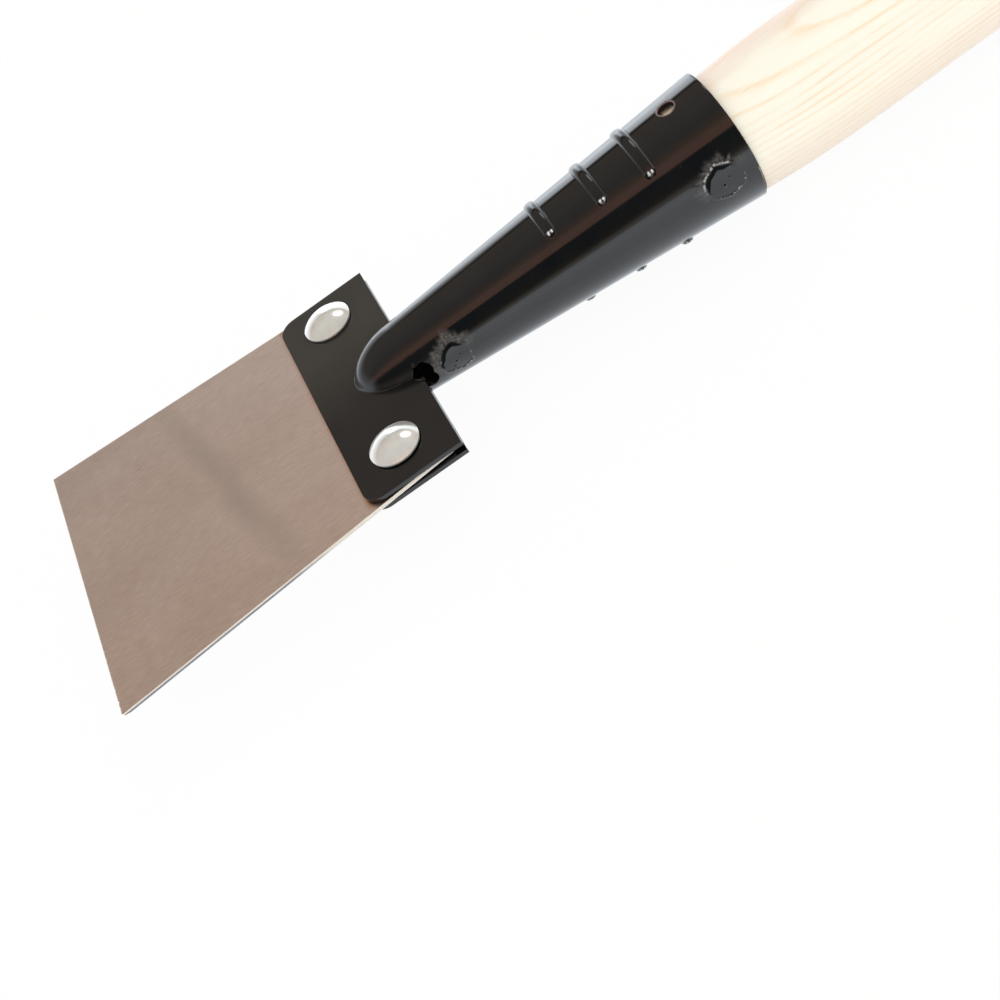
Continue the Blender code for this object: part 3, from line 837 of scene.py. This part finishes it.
def punch(piece, centre, radius, flat, side):
    pick(piece, "FACE", lambda place: ((place - centre) * flat).length < radius
         and (place.z - layout["axisZ"]) * side > 0)
    bpy.ops.mesh.delete(type="FACE")
    bpy.ops.mesh.select_mode(type="VERT")
    bpy.ops.mesh.select_all(action="DESELECT")
    bpy.ops.mesh.select_non_manifold(use_wire=False, use_multi_face=False, use_non_contiguous=False, use_verts=False)
    setMode("OBJECT")
    # the ragged border is drawn onto a circle on the tube or the plate
    for vertex in piece.data.vertices:
        off = (vertex.co - centre) * flat
        if not vertex.select or off.length > 1.3 * radius or (vertex.co.z - layout["axisZ"]) * side < 0.00005:
            continue
        moved = vertex.co + off * (radius / off.length - 1)
        along = moved.x - layout["rearX"]
        if along <= 0:
            moved.z = vertex.co.z
        else:
            grown = socketRadius(along) / math.hypot(moved.y, moved.z - layout["axisZ"])
            moved.y, moved.z = moved.y * grown, layout["axisZ"] + (moved.z - layout["axisZ"]) * grown
        vertex.co = moved


def makeHalfSocket(node, side):
    farTurns, arcTurns, nearTurns = spreadTurns()
    turns = farTurns + arcTurns + nearTurns
    arc = len(arcTurns)
    end = socket["length"] - (0 if side > 0 else socket["mouthStep"])

    def onTube(x, column):
        seam = math.asin(socket["seam"] / socketRadius(x))
        y, z = tubePlace(x, min(math.pi - seam, max(seam, turns[column])))
        return layout["rearX"] + x, y, layout["axisZ"] + side * z

    farColumns = [socket["plateHalfWidth"], *socket["plateColumns"]]
    plateColumns = farColumns + [-y for y in farColumns[::-1]]
    sides = len(farColumns)

    def onPlate(x, column):
        if column < sides or column >= arc + sides:
            y, z = plateColumns[column if column < sides else column - arc], plateOutside
        elif x == 0:
            y, z = tubePlace(x, arcTurns[column - sides])
        else:
            y, z = nosePlace(x, arcTurns[column - sides])
        return layout["rearX"] + x, y, layout["axisZ"] + side * z

    steps = socket["noseSteps"]
    noseRows = [-socket["nose"] * math.sin(math.pi / 2 * i / steps) for i in range(steps + 1)
                if i not in (steps - 2, steps - 1)]       # these two would crowd the last row
    front = -socket["plateDepth"]
    plateRows = sorted({front, front + socket["plateCorner"] + 0.001, *socket["plateRows"], *noseRows})
    hole = socket["length"] - socket["holeSetback"]
    spans = [(place - socket["ribSpan"], place + socket["ribSpan"]) for place, halfLength in socket["ribs"]]
    spans += [(hole - socket["holeSpan"], hole + socket["holeSpan"]), (0.0, socket["frontSpan"])]
    ahead, behind = socket["weldSpan"]
    spans += [(weld["place"] - ahead * weld["radius"], weld["place"] + behind * weld["radius"]) for weld in welds]
    tubeRows = spacedRows(0.0, end, socket["rowStep"], socket["fineRowStep"], spans)

    tube = addSheet(tubeRows, len(turns) - 1, onTube)
    pick(tube, "FACE", lambda place: place.x < layout["rearX"] + socket["sideStart"]
         and abs(place.z - layout["axisZ"]) < plateOutside)
    bpy.ops.mesh.delete(type="FACE")
    setMode("OBJECT")

    plate = addSheet(plateRows, arc + 2 * sides - 1, onPlate)
    pick(plate, "VERT", lambda place: place.x < layout["plateFrontX"] + 1e-5
         and abs(place.y) > socket["plateHalfWidth"] - 1e-5)
    bpy.ops.mesh.bevel(offset=socket["plateCorner"], segments=14, affect="VERTICES")
    setMode("OBJECT")

    tube.select_set(True)
    bpy.ops.object.join()
    piece = bpy.context.object
    setMode("EDIT")
    bpy.ops.mesh.select_all(action="SELECT")
    bpy.ops.mesh.remove_doubles(threshold=0.00001)
    if side < 0:
        bpy.ops.mesh.flip_normals()
    setMode("OBJECT")
    upright, allRound = Vector((1, 1, 0)), Vector((1, 1, 1))
    punch(piece, Vector((holeX, 0, 0)), socket["holeRadius"], upright, side)
    for x, y in rivetPlaces:
        punch(piece, Vector((x, y, 0)), socket["rivetHole"], upright, side)
    for across in (1, -1):
        corner = Vector((layout["rearX"] + socket["sheet"] / 2, across * socket["throat"],
                         layout["axisZ"] + side * (plateOutside - socket["sheet"] / 2)))
        punch(piece, corner, socket["relief"], allRound, side)
    wall = piece.modifiers.new("Sheet", "SOLIDIFY")
    wall.thickness = socket["sheet"]
    wall.offset = -1
    wall.use_even_offset = False
    wall.use_quality_normals = True
    applyAll(piece)
    # the seam and the plates' rear edges stay crisp
    bevelSharp(piece, socket["softEdge"], 2, lambda place:
               socket["sideStart"] + 0.0004 < place.x - layout["rearX"] < end - 0.0002
               and math.hypot(place.x - holeX, place.y) > socket["holeBorder"]
               or abs(place.x - layout["rearX"]) < 0.0003 and abs(place.y) > 0.0145)
    raiseDetails(piece)
    smoothBy(piece, 42)
    mount(piece, node, "black_paint", blackPaint, innerBlack)
    for face in piece.data.polygons:
        x, y, z = face.center.x - layout["rearX"], face.center.y, face.center.z - layout["axisZ"]
        radius = math.hypot(y, z)
        atWeld = y < 0 and abs(z) < 0.4 * radius      # the weld's print is below the tube's face
        skin = socket["outerSkinAtWeld"] if atWeld else socket["outerSkin"]
        if x > -0.0005 and radius < socketRadius(max(0.0, x)) - skin:
            face.material_index = 1


innerBlack = makeInnerBlack()
blackPaint = makeBlackPaint()
makeHalfSocket("upper_socket_half", 1)
makeHalfSocket("lower_socket_half", -1)
print("socket halves pressed")

rivet = {
    "shank": 0.0032,
    "headRadius": 0.0072,
    "headRim": 0.0007,
    "headChamfer": 0.0002,
    "headDome": 0.0026,
    "tailRadius": 0.0058,
    "tailDome": 0.0022,
    "segments": 72,
    "zinc": ((0.765, 0.76, 0.715), (0.83, 0.835, 0.81)),
    "roughness": (0.13, 0.21),
    "bump": (0.05, 0.0001),
}


def makeBrightZinc():
    material, tree, shader, coordinates = newMaterial("zinc_plate_dressed", 0.6)
    clouds = stretchedNoise(tree, coordinates, (420, 420, 420), 4)
    linkLook(tree, shader, twoTones(tree, clouds, rivet["zinc"]), between(tree, clouds, rivet["roughness"]))
    linkBump(tree, shader, clouds, rivet["bump"])
    return material


def makeRivet(node, x, y):
    seat = plateOutside + layout["gap"]
    tail = [(radius, -height) for radius, height in domeProfile(rivet["tailRadius"], rivet["tailDome"], seat, 14)]
    head = domeProfile(rivet["headRadius"], rivet["headDome"], seat + rivet["headRim"], 18)
    profile = tail[::-1] + [(rivet["shank"], -seat), (rivet["shank"], seat),
                            (rivet["headRadius"] - rivet["headChamfer"], seat),
                            (rivet["headRadius"], seat + rivet["headChamfer"])] + head
    piece = turnedPiece(profile, rivet["segments"])
    piece.location = (x, y, layout["axisZ"])
    settle(piece)
    smoothBy(piece, 50)
    mount(piece, node, "zinc_plate", brightZinc)


brightZinc = makeBrightZinc()
makeRivet("rivet_far", *rivetPlaces[0])
makeRivet("rivet_near", *rivetPlaces[1])
print("rivets set")

handle = {
    "length": 1.219,
    "radius": 0.0183,
    "tenonSetback": 0.0197,
    "chamfer": 0.0014,
    "tenonEnd": 0.0168,
    "swell": ((0, 17.38), (2.7, 17.52), (5.7, 17.74), (8.7, 17.94), (11.7, 18.14), (15.7, 18.31), (20, 18.43),
              (25, 18.50), (31, 18.51), (37, 18.46), (43, 18.37), (50, 18.23), (58, 18.08), (66, 17.99), (76, 17.95),
              (100, 17.95), (180, 18.05), (300, 18.25)),     # millimetres beyond the mouth, and the radius there
    "offAxis": (-0.00039, -0.00051),      # the handle sits this much to the near side and down beyond the mouth
    "offAxisFades": (0.10, 0.45),
    "straightStep": 0.04,
    "straightRest": 0.05,
    "endRound": 0.012,
    "endSteps": 12,
    "segments": 96,
    "plainTones": ((0.93, 0.915, 0.82), (0.92, 0.88, 0.77)),
    "ringTone": (0.88, 0.66, 0.41),
    "fibreTone": (0.90, 0.80, 0.66),
    "poreTone": (0.74, 0.50, 0.30),
    "rings": 500,                         # in a metre across them
    "ringTilt": (0.028, -0.10),           # how they climb along the handle and across it
    "ringWander": 0.0085,
    "ringShape": ((0.0, 0.05), (0.5, 0.05), (0.72, 0.5), (0.80, 1.0), (0.86, 0.9), (0.94, 0.1)),
    "upperOutlineShade": (0.93, 0.82, 0.80),      # painted shade along the upper and lower outline, fading along the handle
    "lowerOutlineShade": (0.99, 0.93, 0.93),
    "outlineShadeFades": (0.26, 0.50, 1.0, 0.3),
    "outlineSide": (0.61, 0.79),          # where the upper outline lies, across and up
    "insideShadeTone": (0.60, 0.34, 0.20),     # painted shade on the wood inside the socket
    "insideShadeTo": (0.0950, 0.0960),
    "insideShadeStrength": 0.45,
    "holeLightTone": (1.0, 0.77, 0.56),        # and a painted pool of light on the wood under its screw hole
    "holeFromZ": 0.010,
    "holeReach": 0.0045,
    "roughness": (0.36, 0.52),
    "bump": (0.08, 0.0001),
}


def makeAshWood():
    material, tree, shader, coordinates = newMaterial("ash_wood_dressed", 0.0)
    along, across, up = splitPlace(tree, coordinates)
    depth = plus(tree, times(tree, across, handle["ringTilt"][1]), up)
    depth = plus(tree, depth, times(tree, stretchedNoise(tree, coordinates, (7, 26, 26), 2), handle["ringWander"]))
    depth = plus(tree, depth, times(tree, along, handle["ringTilt"][0]))
    rings = calculate(tree, "FRACT", times(tree, depth, handle["rings"]))
    line = addRamp(tree, rings, [(position, [level] * 3) for position, level in handle["ringShape"]])
    fibres = stretchedNoise(tree, coordinates, (70, 2400, 2400))
    broken = remap(tree, stretchedNoise(tree, coordinates, (38, 300, 300)), 0.38, 0.62, 0.12, 1.0)
    shade = times(tree, times(tree, line, broken), between(tree, fibres, (0.5, 1.0)))
    clouds = stretchedNoise(tree, coordinates, (12, 70, 70))
    colour = mixColours(tree, shade, twoTones(tree, clouds, handle["plainTones"]), handle["ringTone"])
    colour = mixColours(tree, remap(tree, fibres, 0.35, 0.65, 0.0, 0.25), colour, handle["fibreTone"])
    # painted shade: darker and pinker towards the upper and lower outline
    sideY, sideZ = (share / handle["radius"] for share in handle["outlineSide"])
    rim = plus(tree, times(tree, across, sideY), times(tree, up, sideZ))
    rim = plus(tree, rim, between(tree, clouds, (-0.12, 0.12)))
    near = remap(tree, along, *handle["outlineShadeFades"], smooth=True)
    upperShadeMask = times(tree, near, remap(tree, rim, 0.50, 0.98, 0.0, 1.0, smooth=True))
    lowerShadeMask = times(tree, near, remap(tree, rim, -0.55, -1.0, 0.0, 1.0, smooth=True))
    colour = mixColours(tree, upperShadeMask, colour, handle["upperOutlineShade"], "MULTIPLY")
    colour = mixColours(tree, lowerShadeMask, colour, handle["lowerOutlineShade"], "MULTIPLY")
    # painted shade on the wood inside the socket
    insideShadeFrom, insideShadeTo = (layout["rearX"] + x for x in handle["insideShadeTo"])
    insideShade = remap(tree, along, insideShadeFrom, insideShadeTo, handle["insideShadeStrength"], 0.0)
    colour = mixColours(tree, insideShade, colour, handle["insideShadeTone"])
    # a painted pool of light on the wood under the upper screw hole
    holeLight = times(tree, calculate(tree, "GREATER_THAN", up, handle["holeFromZ"]),
                   calculate(tree, "COMPARE", along, holeX, handle["holeReach"]))
    colour = mixColours(tree, holeLight, colour, handle["holeLightTone"])
    pores = remap(tree, stretchedNoise(tree, coordinates, (120, 3200, 3200), 2), 0.60, 0.70, 0.0, 0.5)
    colour = mixColours(tree, times(tree, pores, line), colour, handle["poreTone"])
    linkLook(tree, shader, colour, between(tree, fibres, handle["roughness"]))
    linkBump(tree, shader, fibres, handle["bump"])
    return material


def makeHandle():
    tenon = socket["length"] - handle["tenonSetback"]
    inside = socket["sheet"] + layout["gap"]
    profile = [(socketRadius(handle["tenonSetback"]) - inside - handle["chamfer"], 0),
               (socketRadius(handle["tenonSetback"] + handle["chamfer"]) - inside, handle["chamfer"]),
               (handle["tenonEnd"], tenon + layout["gap"])]
    for beyond, radius in handle["swell"]:
        profile.append((radius / 1000, tenon + layout["gap"] + beyond / 1000 + 1e-6))
    straight = profile[-1][1]
    while straight < handle["length"] - handle["endRound"] - handle["straightRest"]:
        straight += handle["straightStep"]
        profile.append((handle["radius"], straight))
    for i in range(handle["endSteps"] + 1):
        turn = math.pi / 2 * i / handle["endSteps"]
        profile.append((handle["radius"] - handle["endRound"] * (1 - math.cos(turn)),
                        handle["length"] - handle["endRound"] * (1 - math.sin(turn))))
    piece = turnedPiece(profile, handle["segments"])
    piece.rotation_euler.y = math.pi / 2
    piece.location = (layout["rearX"] + handle["tenonSetback"], 0, layout["axisZ"])
    settle(piece)
    mouthX = layout["rearX"] + socket["length"]
    for vertex in piece.data.vertices:
        if vertex.co.x > mouthX:
            share = 1 - smoothStep(*handle["offAxisFades"], vertex.co.x - mouthX)
            vertex.co.y += handle["offAxis"][0] * share
            vertex.co.z += handle["offAxis"][1] * share
    pilotZ = layout["axisZ"] - socket["mouth"] + screw["pilotLift"]
    cutWith(piece, [addPeg(screw["radius"] + layout["gap"], (holeX, 0, pilotZ), screw["pilotDepth"])])
    smoothBy(piece, 40)
    mount(piece, "handle", "ash_wood", makeAshWood())


screw = {
    "radius": 0.0022,
    "length": 0.025,
    "headRadius": 0.0044,
    "headHeight": 0.0024,
    "point": 0.005,
    "slotWidth": 0.0011,
    "slotReach": 0.0023,
    "slotDepth": 0.0014,
    "pilotDepth": 0.035,       # the hole in the handle
    "pilotLift": 0.008,
    "segments": 48,
}


def makeScrew():
    lowest = socketRadius(socket["length"] - socket["holeSetback"] + screw["headRadius"])
    seat = layout["gap"] / 2
    profile = [(0.0002, -screw["length"]), (screw["radius"], screw["point"] - screw["length"]),
               (screw["radius"], seat), (screw["headRadius"] - 0.0001, seat)]
    profile += domeProfile(screw["headRadius"], screw["headHeight"], seat, 14)
    piece = turnedPiece(profile, screw["segments"])
    piece.rotation_euler.x = math.pi
    piece.location = (holeX, 0, layout["axisZ"] - lowest)
    settle(piece)
    top = layout["axisZ"] - lowest - seat - screw["headHeight"]
    for reach in ((screw["slotReach"], screw["slotWidth"] / 2), (screw["slotWidth"] / 2, screw["slotReach"])):
        selectNone()
        bpy.ops.mesh.primitive_cube_add(size=2, location=(holeX, 0, top))
        tool = bpy.context.object
        tool.scale = (*reach, screw["slotDepth"])
        settle(tool)
        cutWith(piece, [tool])
    smoothBy(piece, 40)
    mount(piece, "handle_screw", "zinc_plate", brightZinc)


makeHandle()
makeScrew()
print("handle fitted")
